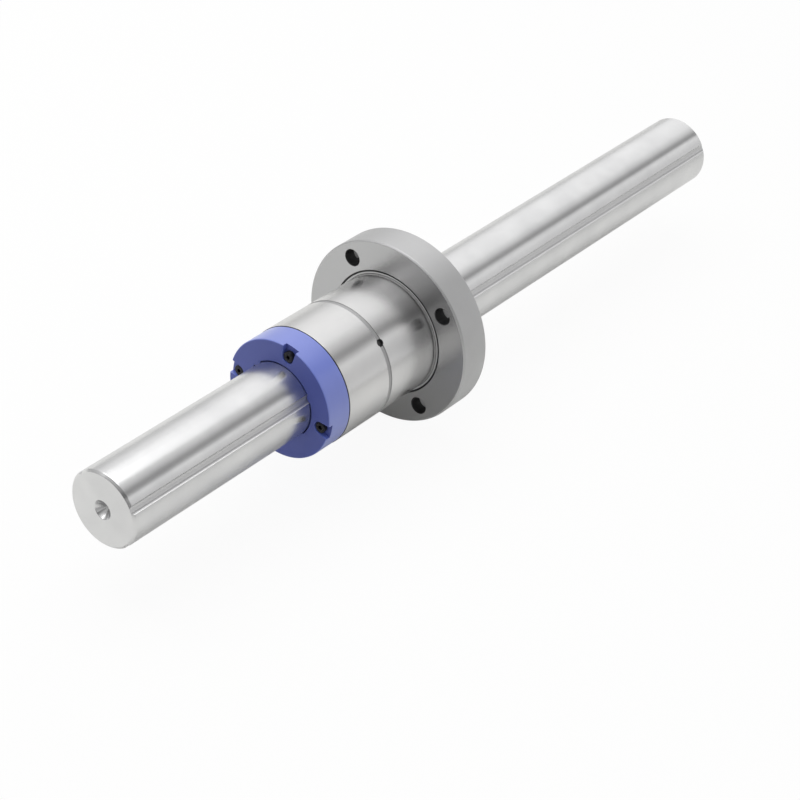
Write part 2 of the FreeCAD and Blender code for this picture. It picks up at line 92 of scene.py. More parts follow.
class End(Enum):
    """The two ends of the nut, each closed by the same moulded cap."""

    BARREL = "barrel"
    FLANGE = "flange"

    def place(self, nut: "NutSizes") -> Matrix:
        """Give the matrix that moves a piece from X = 0, facing +X, to this end's steel face."""
        if self is End.FLANGE:
            return Matrix.Translation((mm(nut.steel_end), 0, 0))
        return Matrix.Translation((mm(-nut.barrel_length), 0, 0)) @ Matrix.Rotation(math.pi, 4, "Z")


@dataclass(frozen=True)
class Row:
    """One loop of balls: the angle of its loaded row and the side its balls return on."""

    name: str
    angle: float
    sense: int


@dataclass(frozen=True)
class Loops:
    """The sizes that the balls give to every piece that they run in."""

    ball_diameter: float = 7.144
    row_radius: float = 27.3
    return_radius: float = 34.6
    return_angle: float = 15.0
    row_angle: float = 35.0
    track_clearance: float = 0.15
    hole_clearance: float = 0.13
    pass_clearance: float = 0.08

    @property
    def rows(self) -> tuple[Row, ...]:
        """List the four loaded rows, in mirrored pairs."""
        angle = self.row_angle
        return (
            Row("1", angle, 1),
            Row("2", 180 - angle, -1),
            Row("3", 180 + angle, 1),
            Row("4", 360 - angle, -1),
        )

    @property
    def track_arc(self) -> float:
        """Give the radius of the track's round bottom."""
        return self.ball_diameter / 2 + self.track_clearance

    @property
    def pass_radius(self) -> float:
        """Give the radius of the passage through an end cap."""
        return self.ball_diameter / 2 + self.pass_clearance

    def loaded(self, row: Row) -> Vector:
        """Give the centre of a loaded row, as a point in the plane X = 0."""
        return around(self.row_radius, row.angle)

    def returned(self, row: Row) -> Vector:
        """Give the centre of a return row, as a point in the plane X = 0."""
        return around(self.return_radius, row.angle + row.sense * self.return_angle)

    def at_loaded(self) -> list[Matrix]:
        """Give the moves that bring a tool onto each loaded row."""
        return [Matrix.Translation(self.loaded(row)) for row in self.rows]


LOOPS = Loops()


@dataclass(frozen=True)
class Corner:
    """One corner of a turned profile, with the setback of its rounding, in millimetres."""

    along: float
    radius: float
    rounding: float = 0.0


@dataclass(frozen=True)
class NutSizes:
    """The outside of the nut, which its caps, screws and rows are placed by."""

    barrel_radius: float = 40.0
    barrel_length: float = 85.0
    flange_radius: float = 62.5
    flange_thickness: float = 23.0
    cap_length: float = 19.0
    bore_radius: float = 25.6

    @property
    def steel_end(self) -> float:
        """Give the place of the steel face under the flange's cap."""
        return self.flange_thickness - self.cap_length


NUT = NutSizes()


def turned(corners: Sequence[Corner], steps: int = ROUND_STEPS, closed: bool = True) -> BMesh:
    """Spin a profile about the X axis, as a lathe would.

    Args:
        corners: the profile in order; an open profile starts and ends on the axis.
        steps: faces round the piece.
        closed: whether the profile's last corner joins its first.

    Returns:
        A closed solid whose faces point outwards.
    """
    bm = bmesh.new()
    verts = [bm.verts.new((mm(corner.along), 0, mm(corner.radius))) for corner in corners]
    for start, end in zip(verts, verts[1:]):
        bm.edges.new((start, end))
    if closed:
        bm.edges.new((verts[-1], verts[0]))
    for vert, corner in zip(verts, corners):
        if corner.rounding:
            bmesh.ops.bevel(bm, geom=[vert], offset=mm(corner.rounding), offset_type="OFFSET",
                            segments=EDGE_SEGMENTS, profile=0.5, affect="VERTICES", material=-1)
    bmesh.ops.spin(bm, geom=bm.verts[:] + bm.edges[:], cent=(0, 0, 0), axis=(1, 0, 0),
                   angle=2 * math.pi, steps=steps, use_merge=True)
    bmesh.ops.remove_doubles(bm, verts=bm.verts, dist=MERGE_DISTANCE)
    bmesh.ops.recalc_face_normals(bm, faces=bm.faces)
    return bm


def rod(radius: float, start: float, end: float, segments: int = 64) -> BMesh:
    """Make a plain round bar along X, in millimetres, as a tool to cut or join with."""
    bm = bmesh.new()
    bmesh.ops.create_cone(bm, cap_ends=True, segments=segments, radius1=mm(radius),
                          radius2=mm(radius), depth=mm(end - start))
    bmesh.ops.rotate(bm, verts=bm.verts, cent=(0, 0, 0), matrix=Matrix.Rotation(math.pi / 2, 3, "Y"))
    bmesh.ops.translate(bm, verts=bm.verts, vec=(mm((start + end) / 2), 0, 0))
    return bm


def placed(bm: BMesh, matrix: Matrix) -> BMesh:
    """Move a mesh by a matrix and give it back."""
    bmesh.ops.transform(bm, matrix=matrix, verts=bm.verts)
    return bm


def raised(bm: BMesh, height: float) -> BMesh:
    """Move a mesh up from the shaft's axis by a height in millimetres and give it back."""
    return placed(bm, Matrix.Translation((0, 0, mm(height))))


def copies(bm: BMesh, matrices: Sequence[Matrix]) -> BMesh:
    """Repeat a mesh at several places.

    Args:
        bm: the piece to repeat; it is used up.
        matrices: one placing matrix for each copy.

    Returns:
        One mesh that holds all the copies.
    """
    result = bmesh.new()
    scratch = bpy.data.meshes.new("copy")
    for matrix in matrices:
        repeated = bm.copy()
        bmesh.ops.transform(repeated, matrix=matrix, verts=repeated.verts)
        repeated.to_mesh(scratch)
        result.from_mesh(scratch)
        repeated.free()
    bpy.data.meshes.remove(scratch)
    bm.free()
    return result


def round_about(count: int, first: float = 0.0) -> list[Matrix]:
    """Give the turns that repeat a piece evenly about the shaft, from a first angle in degrees."""
    return [Matrix.Rotation(math.radians(first + 360 / count * index), 4, "X") for index in range(count)]


def add_object(name: str, data: ID) -> Object:
    """Put data such as a mesh or a lamp in the scene, as an object."""
    item = bpy.data.objects.new(name, data)
    bpy.context.scene.collection.objects.link(item)
    return item


def add_mesh(name: str, bm: BMesh) -> Object:
    """Put a mesh, which is used up, in the scene as an object."""
    mesh = bpy.data.meshes.new(name)
    bm.to_mesh(mesh)
    bm.free()
    return add_object(name, mesh)


def combine(solid: BMesh, tools: Sequence[tuple[str, BMesh]]) -> BMesh:
    """Cut tools from a solid or join them to it, in order.

    Args:
        solid: the solid to work on; it is used up.
        tools: pairs of DIFFERENCE or UNION and the tool's mesh, which is used up.

    Returns:
        The finished solid.
    """
    base = add_mesh("base", solid)
    helpers = []
    for operation, tool in tools:
        helper = add_mesh("tool", tool)
        helpers.append(helper)
        boolean = base.modifiers.new("tool", "BOOLEAN")
        boolean.operation = operation
        boolean.solver = "EXACT"
        boolean.object = helper
    graph = bpy.context.evaluated_depsgraph_get()
    mesh = bpy.data.meshes.new_from_object(base.evaluated_get(graph))
    result = bmesh.new()
    result.from_mesh(mesh)
    bpy.data.meshes.remove(mesh)
    for item in [base] + helpers:
        data = item.data
        bpy.data.objects.remove(item)
        bpy.data.meshes.remove(data)
    bmesh.ops.remove_doubles(result, verts=result.verts, dist=MERGE_DISTANCE)
    bmesh.ops.dissolve_degenerate(result, edges=result.edges, dist=MERGE_DISTANCE)
    return result


def ease_edges(bm: BMesh, chosen: list[BMEdge], width: float) -> None:
    """Break sharp edges with a small round, as a brush or a stone does.

    Args:
        bm: the mesh to change.
        chosen: the edges to ease.
        width: the width of the round, in millimetres.
    """
    bmesh.ops.bevel(bm, geom=chosen, offset=mm(width), offset_type="OFFSET", segments=EDGE_SEGMENTS,
                    profile=0.5, affect="EDGES", material=-1, clamp_overlap=True)


def linear(colour: str) -> tuple[float, float, float, float]:
    """Turn an sRGB hex colour such as #6f7fc9 into linear red, green, blue and alpha."""
    channels = [int(colour[place:place + 2], 16) / 255 for place in (1, 3, 5)]
    light = [part / 12.92 if part <= 0.04045 else ((part + 0.055) / 1.055) ** 2.4 for part in channels]
    return (light[0], light[1], light[2], 1.0)


def add_node(tree: NodeTree, kind: str, settings: dict | None = None,
             inputs: dict | None = None) -> Node:
    """Add one node with its settings and links.

    Args:
        tree: the node tree to add to.
        kind: the node's type, such as ShaderNodeTexNoise.
        settings: properties of the node itself.
        inputs: values for its input sockets, by name or number; a socket value is linked.

    Returns:
        The new node.
    """
    node = tree.nodes.new(kind)
    for name, setting in (settings or {}).items():
        setattr(node, name, setting)
    for name, source in (inputs or {}).items():
        if isinstance(source, NodeSocket):
            tree.links.new(source, node.inputs[name])
        else:
            node.inputs[name].default_value = source
    return node


def maths(tree: NodeTree, operation: str, first: object, second: object,
          clamp: bool = False) -> NodeSocket:
    """Add a node that works out one value from two, and give its result."""
    node = add_node(tree, "ShaderNodeMath", {"operation": operation, "use_clamp": clamp}, {
        0: first, 1: second})
    return node.outputs["Value"]


def ranged(tree: NodeTree, source: NodeSocket, span: tuple[float, float],
           result: tuple[float, float]) -> NodeSocket:
    """Add a node that moves a value from one span of numbers to another, and give its result."""
    node = add_node(tree, "ShaderNodeMapRange", None, {
        "Value": source, "From Min": span[0], "From Max": span[1], "To Min": result[0],
        "To Max": result[1]})
    return node.outputs["Result"]


def facing(place: Vector, aim: Vector) -> Matrix:
    """Give the matrix of a camera or a lamp that stands at a place and faces a point."""
    return Matrix.Translation(place) @ (aim - place).to_track_quat("-Z", "Y").to_matrix().to_4x4()


def new_material(name: str) -> Material:
    """Start an empty node material."""
    material = bpy.data.materials.new(name)
    material.use_nodes = True
    material.node_tree.nodes.clear()
    return material


class Recipe:
    """The node tree of one finish, laid out on object coordinates."""

    def __init__(self, name: str) -> None:
        """Start the material."""
        self.material = new_material(name)
        self.tree = self.material.node_tree
        self.place = add_node(self.tree, "ShaderNodeTexCoord").outputs["Object"]

    def noise(self, scale: float, detail: float, roughness: float = 0.5,
              vector: NodeSocket | None = None) -> NodeSocket:
        """Add a cloudy pattern.

        Args:
            scale: patches in a metre.
            detail: how many finer patterns are laid over the first.
            roughness: how strong the finer ones are.
            vector: stretched coordinates, if the pattern isn't even on all axes.

        Returns:
            The pattern's strength.
        """
        node = add_node(self.tree, "ShaderNodeTexNoise", {"noise_dimensions": "3D"}, {
            "Vector": self.place if vector is None else vector, "Scale": scale, "Detail": detail,
            "Roughness": roughness})
        return node.outputs["Fac"]

    def blend(self, share: NodeSocket, first: str, second: str) -> NodeSocket:
        """Mix two sRGB hex colours by a pattern."""
        node = add_node(self.tree, "ShaderNodeMix", {"data_type": "RGBA"}, {
            "Factor": share, "A": linear(first), "B": linear(second)})
        return node.outputs["Result"]

    def about(self, pattern: NodeSocket, span: tuple[float, float], middle: float,
              spread: float) -> NodeSocket:
        """Let a value vary about its middle as a pattern does."""
        return ranged(self.tree, pattern, span, (middle - spread, middle + spread))

    def relief(self, pattern: NodeSocket, strength: float, depth: float) -> NodeSocket:
        """Turn a pattern into a surface relief, with its depth in millimetres."""
        node = add_node(self.tree, "ShaderNodeBump", None, {
            "Height": pattern, "Strength": strength, "Distance": mm(depth)})
        return node.outputs["Normal"]

    def surface(self, inputs: dict) -> Material:
        """Close the tree with one surface, and give the finished material."""
        shader = add_node(self.tree, "ShaderNodeBsdfPrincipled", None, inputs)
        add_node(self.tree, "ShaderNodeOutputMaterial", None, {"Surface": shader.outputs["BSDF"]})
        return self.material


@dataclass(frozen=True)
class GroundSteel:
    """Hardened bearing steel ground between centres: bright, with fine rings round the bar.

    The grinding wheel leaves scratches that run round the piece, so reflections stay sharp
    across it and smear a little along it. The real scratches are a few hundredths of a
    millimetre apart; they are drawn as wide as ring_width to show at all.
    """

    name: str
    colour: str = "#e6e6e6"
    cloud_colour: str = "#cfcfd0"
    roughness: float = 0.23
    roughness_spread: float = 0.012
    ring_width: float = 0.3
    ring_depth: float = 0.02
    ring_strength: float = 0.012
    rings_across: float = 12.0
    clouds_in_metre: float = 45.0
    anisotropy: float = 0.7

    def make(self) -> Material:
        """Build the material from rings and a faint cloud."""
        recipe = Recipe(self.name)
        tree = recipe.tree
        stretched = add_node(tree, "ShaderNodeMapping", None, {
            "Vector": recipe.place,
            "Scale": (1.0 / mm(self.ring_width), self.rings_across, self.rings_across)})
        rings = recipe.noise(1.0, 3.0, 0.6, stretched.outputs["Vector"])
        cloud = recipe.noise(self.clouds_in_metre, 4.0, 0.55)
        mixed = maths(tree, "MULTIPLY", rings, cloud)
        tangent = add_node(tree, "ShaderNodeTangent", {"direction_type": "RADIAL", "axis": "X"})
        return recipe.surface({
            "Base Color": recipe.blend(cloud, self.colour, self.cloud_colour), "Metallic": 1.0,
            "Roughness": recipe.about(mixed, (0.0, 0.6), self.roughness, self.roughness_spread),
            "Anisotropic": self.anisotropy, "Anisotropic Rotation": 0.25,
            "Normal": recipe.relief(rings, self.ring_strength, self.ring_depth),
            "Tangent": tangent.outputs["Tangent"]})


@dataclass(frozen=True)
class TurnedSteel:
    """Hardened steel left as it was turned: satin, with feed rings about the shaft's axis.

    On the flat faces the tool leaves a fine spiral, one turn every feed, which the eye sees
    as circles; the real feed of about 0.1 mm is drawn as wide as feed.
    """

    name: str
    colour: str = "#c8c8c8"
    ring_colour: str = "#bbbbbc"
    roughness: float = 0.34
    roughness_spread: float = 0.06
    feed: float = 0.3
    ring_depth: float = 0.015
    ring_strength: float = 0.15
    clouds_in_metre: float = 60.0

    def make(self) -> Material:
        """Build the material from feed rings and a cloud in its roughness."""
        recipe = Recipe(self.name)
        tree = recipe.tree
        flat = add_node(tree, "ShaderNodeVectorMath", {"operation": "MULTIPLY"}, {
            0: recipe.place, 1: (0.0, 1.0, 1.0)})
        radius = add_node(tree, "ShaderNodeVectorMath", {"operation": "LENGTH"}, {
            0: flat.outputs["Vector"]})
        split = add_node(tree, "ShaderNodeSeparateXYZ", None, {"Vector": recipe.place})
        travel = maths(tree, "ADD", radius.outputs["Value"], split.outputs["X"])
        feeds = maths(tree, "DIVIDE", travel, mm(self.feed))
        rings = add_node(tree, "ShaderNodeTexNoise", {"noise_dimensions": "1D"}, {
            "W": feeds, "Scale": 1.0, "Detail": 2.0, "Roughness": 0.6}).outputs["Fac"]
        cloud = recipe.noise(self.clouds_in_metre, 5.0, 0.6)
        return recipe.surface({
            "Base Color": recipe.blend(rings, self.colour, self.ring_colour), "Metallic": 1.0,
            "Roughness": recipe.about(cloud, MIDDLE_OF_NOISE, self.roughness, self.roughness_spread),
            "Normal": recipe.relief(rings, self.ring_strength, self.ring_depth)})


@dataclass(frozen=True)
class MouldedAcetal:
    """Dyed acetal, injection moulded, with the fine grain of a spark-eroded mould.

    The skin is the smooth gloss that a polished part of the mould leaves, as on the caps' rims.
    The caps' flat faces come from its textured part and have none.
    """

    name: str
    colour: str = "#6a7cd4"
    shade: str = "#6274cd"
    roughness: float = 0.38
    roughness_spread: float = 0.05
    gloss: float = 1.0
    skin: float = 1.0
    skin_roughness: float = 0.3
    grain: float = 0.25
    grain_depth: float = 0.02
    grain_strength: float = 0.2
    flows_in_metre: float = 70.0

    def make(self) -> Material:
        """Build the material from the mould's grain and the dye's flow."""
        recipe = Recipe(self.name)
        grain = recipe.noise(1.0 / mm(self.grain), 2.0)
        flow = recipe.noise(self.flows_in_metre, 3.0)
        return recipe.surface({
            "Base Color": recipe.blend(flow, self.colour, self.shade), "IOR": 1.48,
            "Roughness": recipe.about(grain, MIDDLE_OF_NOISE, self.roughness, self.roughness_spread),
            "Specular IOR Level": self.gloss, "Coat Weight": self.skin,
            "Coat Roughness": self.skin_roughness,
            "Normal": recipe.relief(grain, self.grain_strength, self.grain_depth)})


@dataclass(frozen=True)
class BlackOxide:
    """Alloy steel with a black oxide skin, oiled: nearly black, with soft worn lights."""

    name: str
    colour: str = "#1c1c1e"
    worn: str = "#34343a"
    roughness: float = 0.38
    bare_share: float = 0.7
    patches_in_metre: float = 900.0

    def make(self) -> Material:
        """Build the material from worn patches."""
        recipe = Recipe(self.name)
        patches = recipe.noise(self.patches_in_metre, 4.0, 0.65)
        return recipe.surface({
            "Base Color": recipe.blend(patches, self.colour, self.worn), "Metallic": self.bare_share,
            "Roughness": self.roughness})


@dataclass(frozen=True)
class HardeningScale:
    """The dark oil-black skin that hardening leaves where the steel isn't ground afterwards.

    It stays in the drilled holes: nearly black, half glossy, and a little uneven. In the relief under the
    flange it is painted shade.
    """

    name: str
    colour: str = "#161617"
    thin: str = "#2b2b2d"
    roughness: float = 0.3
    patches_in_metre: float = 400.0
    patch_depth: float = 0.05
    patch_strength: float = 0.1

    def make(self) -> Material:
        """Build the material from thick and thin patches."""
        recipe = Recipe(self.name)
        patches = recipe.noise(self.patches_in_metre, 4.0, 0.6)
        return recipe.surface({
            "Base Color": recipe.blend(patches, self.colour, self.thin), "Roughness": self.roughness,
            "Normal": recipe.relief(patches, self.patch_strength, self.patch_depth)})


@dataclass(frozen=True)
class LappedSteel:
    """Chrome steel balls, lapped: close to a mirror, with a trace of cloud in the shine."""

    name: str
    colour: str = "#e4e4e2"
    roughness: tuple[float, float] = (0.04, 0.1)
    clouds_in_metre: float = 500.0

    def make(self) -> Material:
        """Build the material from a faint cloud."""
        recipe = Recipe(self.name)
        cloud = recipe.noise(self.clouds_in_metre, 2.0)
        return recipe.surface({
            "Base Color": linear(self.colour), "Metallic": 1.0,
            "Roughness": ranged(recipe.tree, cloud, (0.0, 1.0), self.roughness)})


@dataclass(frozen=True)
class Finishes:
    """The finishes of the whole part, one material each."""

    shaft: Material
    barrel: Material
    flange: Material
    seat: Material
    groove: Material
    collar: Material
    track: Material
    scale: Material
    cap: Material
    cap_face: Material
    screw: Material
    retainer: Material
    ball: Material

    @classmethod
    def make(cls) -> "Finishes":
        """Build every material once."""
        return cls(
            shaft=GroundSteel("ground_shaft_steel").make(),
            barrel=GroundSteel("ground_barrel_steel", colour="#dedddc", roughness=0.24).make(),
            flange=TurnedSteel("turned_flange_steel", colour="#c4c4c4", roughness=0.52).make(),
            seat=TurnedSteel("ground_seat_steel", colour="#bababa", roughness=0.24, roughness_spread=0.015,
                             feed=0.2).make(),
            # The collar's face is near-white, rough steel: a painted highlight for the light that a round
            # there would catch.
            collar=TurnedSteel("turned_collar_steel", colour="#f0f0f0", roughness=0.6).make(),
            groove=TurnedSteel("turned_groove_steel", colour="#a4a4a4", roughness=0.5).make(),
            track=GroundSteel("ground_track_steel", colour="#d4d4d4", roughness=0.38).make(),
            # The scale also serves as painted shade in the relief under the flange.
            scale=HardeningScale("hardening_scale").make(),
            cap=MouldedAcetal("moulded_blue_acetal").make(),
            # The caps' flat faces take a darker copy of the rim's blue: painted shade, as the plastic is
            # one colour.
            cap_face=MouldedAcetal("shaded_face_blue_acetal", colour="#515eae", shade="#4b58a8", roughness=0.5,
                                   gloss=0.7, skin=0.0).make(),
            screw=BlackOxide("black_oxide_screw").make(),
            retainer=MouldedAcetal("black_retainer_acetal", colour="#1b1b1c", shade="#242426").make(),
            ball=LappedSteel("lapped_ball_steel").make(),
        )


def add_piece(name: str, bm: BMesh, materials: Sequence[Material], body: str,
              nodes: Sequence[str]) -> Object:
    """Put a finished mesh in the scene as a piece of the part.

    Args:
        name: the piece's name.
        bm: its mesh, in place; it is used up.
        materials: its materials, by the number that its faces hold.
        body: the body that it moves with.
        nodes: the modelled nodes that it stands for.

    Returns:
        The new object.
    """
    for face in bm.faces:
        face.smooth = True
    for edge in bm.edges:
        edge.smooth = edge.calc_face_angle(0) < SMOOTH_BELOW
    piece = add_mesh(name, bm)
    for material in materials:
        piece.data.materials.append(material)
    weighted = piece.modifiers.new("even_normals", "WEIGHTED_NORMAL")
    weighted.keep_sharp = True
    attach(piece, body)
    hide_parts(*nodes)
    LOG.info("%s: %d faces on %s", name, len(piece.data.polygons), body)
    return piece


class Skin(Enum):
    """The skins of the nut's steel body, by the number of their material."""

    GROUND = 0
    TURNED = 1
    SCALE = 2
    SEAT = 3
    GROOVE = 4
    COLLAR_HIGHLIGHT = 5


@dataclass
class SplineShaft:
    """The splined shaft: a ground bar with four ball tracks and a centre hole in each end."""

    radius: float = 25.0
    chamfer: float = 1.5
    mouth: float = 6.25
    pilot: float = 2.5
    pilot_depth: float = 12.0
    centre_half_angle: float = 30.0
    drill_half_angle: float = 60.0
    edge_round: float = 0.3
    track_edge: float = 0.15
    track_margin: float = 0.03

    def profile(self) -> list[Corner]:
        """Draw half the bar's outline, from one centre hole's tip to the other's."""
        low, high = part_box("spline_shaft")
        start, end = low[0] * MM_IN_METRE, high[0] * MM_IN_METRE
        cone = (self.mouth - self.pilot) / math.tan(math.radians(self.centre_half_angle))
        tip = self.pilot_depth + self.pilot / math.tan(math.radians(self.drill_half_angle))
        half = [
            Corner(tip, 0.0),
            Corner(self.pilot_depth, self.pilot),
            Corner(cone, self.pilot),
            Corner(0.0, self.mouth, self.edge_round),
            Corner(0.0, self.radius - self.chamfer, self.edge_round),
            Corner(self.chamfer, self.radius, self.edge_round),
        ]
        near = [Corner(start + corner.along, corner.radius, corner.rounding) for corner in half]
        far = [Corner(end - corner.along, corner.radius, corner.rounding) for corner in reversed(half)]
        return near + far

    def mesh(self) -> BMesh:
        """Turn the bar and grind its tracks, with their edges stoned."""
        low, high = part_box("spline_shaft")
        spare = 10.0
        bar = turned(self.profile(), closed=False)
        tool = rod(LOOPS.track_arc, low[0] * MM_IN_METRE - spare,
                   high[0] * MM_IN_METRE + spare, 96)
        tracks = copies(tool, LOOPS.at_loaded())
        shaft = combine(bar, [("DIFFERENCE", tracks)])
        edges = [edge for edge in shaft.edges if self.is_track_edge(edge)]
        ease_edges(shaft, edges, self.track_edge)
        return shaft

    def is_track_edge(self, edge: BMEdge) -> bool:
        """Tell whether an edge is where a track meets the outside of the bar."""
        run = edge.verts[1].co - edge.verts[0].co
        if abs(run.x) < ALONG_SHARE * run.length or not edge.is_manifold:
            return False
        return edge.calc_face_angle(0) > SMOOTH_BELOW

    def in_track(self, face: BMFace) -> bool:
        """Tell whether a face is the ground wall of a track."""
        centre = face.calc_center_median()
        centre.x = 0.0
        reach = mm(LOOPS.track_arc + self.track_margin)
        return any((centre - LOOPS.loaded(row)).length < reach for row in LOOPS.rows)

    def build(self, finishes: Finishes) -> None:
        """Make the shaft's piece."""
        bar = self.mesh()
        for face in bar.faces:
            face.material_index = 1 if self.in_track(face) else 0
        add_piece("ground_shaft", bar, [finishes.shaft, finishes.track], "shaft",
                  ["spline_shaft"])


@dataclass
class FlangedNut:
    """The nut's steel body: a ground barrel and a turned flange, bored and drilled."""

    barrel_chamfer: float = 0.5
    flange_chamfer: float = 1.0
    relief_width: float = 2.5
    relief_depth: float = 1.2
    collar_gap: float = 0.2
    collar_width: float = 1.05
    collar_drop: float = 0.2
    collar_round: float = 0.1
    collar_lip: float = 0.15
    relief_round: float = 0.3
    groove_place: float = 45.5
    groove_width: float = 3.0
    groove_depth: float = 0.35
    oil_hole_radius: float = 2.2
    oil_hole_floor: float = 38.6
    oil_hole_angle: float = 128.5
    bolt_circle: float = 52.0
    bolt_radius: float = 5.5
    counterbore_radius: float = 8.75
    counterbore_depth: float = 11.0
    hole_chamfer: float = 0.4
    scale_depth: float = 8.3
    recess_radius: float = 40.1
    screw_circle: float = 33.0
    tapped_radius: float = 2.05
    tapped_depth: float = 12.2
    tapped_half_angle: float = 59.0
    edge_round: float = 0.25

    def profile(self) -> list[Corner]:
        """Draw the section of the body on one side of the axis."""
        soft = self.edge_round
        barrel = NUT.barrel_radius
        back = -NUT.barrel_length
        face = NUT.flange_thickness
        flange = NUT.flange_radius
        groove = -self.groove_place
        half = self.groove_width / 2
        collar = barrel + self.collar_gap
        return [
            Corner(back, NUT.bore_radius, soft),
            Corner(back, barrel - self.barrel_chamfer, soft / 2),
            Corner(back + self.barrel_chamfer, barrel, soft / 2),
            Corner(groove - half, barrel, soft / 2),
            Corner(groove - half, barrel - self.groove_depth, soft / 2),
            Corner(groove + half, barrel - self.groove_depth, soft / 2),
            Corner(groove + half, barrel, soft / 2),
            Corner(self.relief_depth, barrel, self.collar_round),
            Corner(self.relief_depth, collar, self.collar_round),
            Corner(self.collar_drop, collar, self.collar_round),
            Corner(self.collar_drop, collar + self.collar_width, self.collar_lip),
            Corner(self.relief_depth, collar + self.collar_width, self.relief_round),
            Corner(self.relief_depth, barrel + self.relief_width, self.relief_round),
            Corner(0.0, barrel + self.relief_width, soft / 2),
            Corner(0.0, flange - self.flange_chamfer, soft),
            Corner(self.flange_chamfer, flange, soft),
            Corner(face - self.flange_chamfer, flange, soft),
            Corner(face, flange - self.flange_chamfer, soft),
            Corner(face, self.recess_radius, soft),
            Corner(NUT.steel_end, self.recess_radius, soft),
            Corner(NUT.steel_end, NUT.bore_radius, soft),
        ]

    def bolt_tool(self) -> BMesh:
        """Make the tool for one bolt hole, with its counterbore and eased mouths."""
        face = NUT.flange_thickness
        floor = face - self.counterbore_depth
        ease = self.hole_chamfer
        past = 1.0
        return turned([
            Corner(-past, 0.0),
            Corner(-past, self.bolt_radius + ease + past),
            Corner(ease, self.bolt_radius),
            Corner(self.scale_depth, self.bolt_radius),
            Corner(floor, self.bolt_radius),
            Corner(floor, self.counterbore_radius),
            Corner(face - ease, self.counterbore_radius),
            Corner(face + past, self.counterbore_radius + ease + past),
            Corner(face + past, 0.0),
        ], steps=64, closed=False)

    def tapped_tool(self, end: End) -> BMesh:
        """Make the tool for the four tapped holes under one cap."""
        point = self.tapped_radius / math.tan(math.radians(self.tapped_half_angle))
        hole = turned([
            Corner(-self.tapped_depth - point, 0.0),
            Corner(-self.tapped_depth, self.tapped_radius),
            Corner(-self.hole_chamfer, self.tapped_radius),
            Corner(1.0, self.tapped_radius + self.hole_chamfer + 1.0),
            Corner(1.0, 0.0),
        ], steps=32, closed=False)
        return placed(copies(raised(hole, self.screw_circle), round_about(4)), end.place(NUT))

    def oil_tool(self) -> BMesh:
        """Make the tool for the two oil holes, which stop at a flat floor short of the return holes."""
        rim = NUT.barrel_radius
        ease = self.hole_chamfer
        hole = turned([
            Corner(self.oil_hole_floor, 0.0),
            Corner(self.oil_hole_floor, self.oil_hole_radius),
            Corner(rim - ease, self.oil_hole_radius),
            Corner(rim + 1.0, self.oil_hole_radius + ease + 1.0),
            Corner(rim + 1.0, 0.0),
        ], steps=48, closed=False)
        upright = Matrix.Rotation(-math.pi / 2, 4, "Y")
        placed(hole, Matrix.Translation((mm(-self.groove_place), 0, 0)) @ upright)
        return copies(hole, round_about(2, self.oil_hole_angle - 90))

    def mesh(self) -> BMesh:
        """Turn the body, broach its rows and drill all its holes."""
        spare = 3.0
        start, end = -NUT.barrel_length - spare, NUT.steel_end + spare
        channels = copies(rod(LOOPS.track_arc, start, end), LOOPS.at_loaded())
        returns = copies(rod(LOOPS.ball_diameter / 2 + LOOPS.hole_clearance, start, end, 48), [
            Matrix.Translation(LOOPS.returned(row)) for row in LOOPS.rows])
        bolt = raised(self.bolt_tool(), self.bolt_circle)
        return combine(turned(self.profile()), [
            ("DIFFERENCE", channels),
            ("DIFFERENCE", returns),
            ("DIFFERENCE", copies(bolt, round_about(4, 45))),
            ("DIFFERENCE", self.tapped_tool(End.BARREL)),
            ("DIFFERENCE", self.tapped_tool(End.FLANGE)),
            ("DIFFERENCE", self.oil_tool()),
        ])

    def skin(self, face: BMFace) -> Skin:
        """Tell which skin a face of the finished body carries."""
        centre = face.calc_center_median() * MM_IN_METRE
        radius = math.hypot(centre.y, centre.z)
        on_end = centre.x < self.barrel_chamfer - NUT.barrel_length
        if (on_end and radius > EndCap.radius - FACE_MARGIN) or self.in_drilled_hole(centre, radius):
            return Skin.SCALE
        in_groove = abs(centre.x + self.groove_place) < self.groove_width / 2 + self.edge_round
        if in_groove and NUT.bore_radius + 5 < radius < NUT.barrel_radius - 0.03:
            return Skin.GROOVE
        half = self.relief_width / 2
        near_relief = abs(radius - NUT.barrel_radius - half) < half + WALL_MARGIN
        # The relief's slots beside the collar, walls and floors, take the dark scale as painted shade.
        if near_relief and self.collar_drop + 0.12 < centre.x < self.relief_depth + WALL_MARGIN:
            return Skin.SCALE
        # The collar's face takes the near-white steel as a painted highlight.
        if near_relief and WALL_MARGIN < centre.x < FACE_MARGIN:
            return Skin.COLLAR_HIGHLIGHT
        if face.normal.x < -ALONG_SHARE and -1.0 < centre.x < FACE_MARGIN:
            return Skin.SEAT
        in_bolt_hole = abs(radius - self.bolt_circle) < self.bolt_radius + WALL_MARGIN
        if in_bolt_hole and FACE_MARGIN < centre.x < NUT.flange_thickness - FACE_MARGIN:
            return Skin.GROOVE
        on_flange = centre.x > SEAT_MARGIN
        return Skin.TURNED if on_flange and radius > NUT.bore_radius + 1 else Skin.GROUND

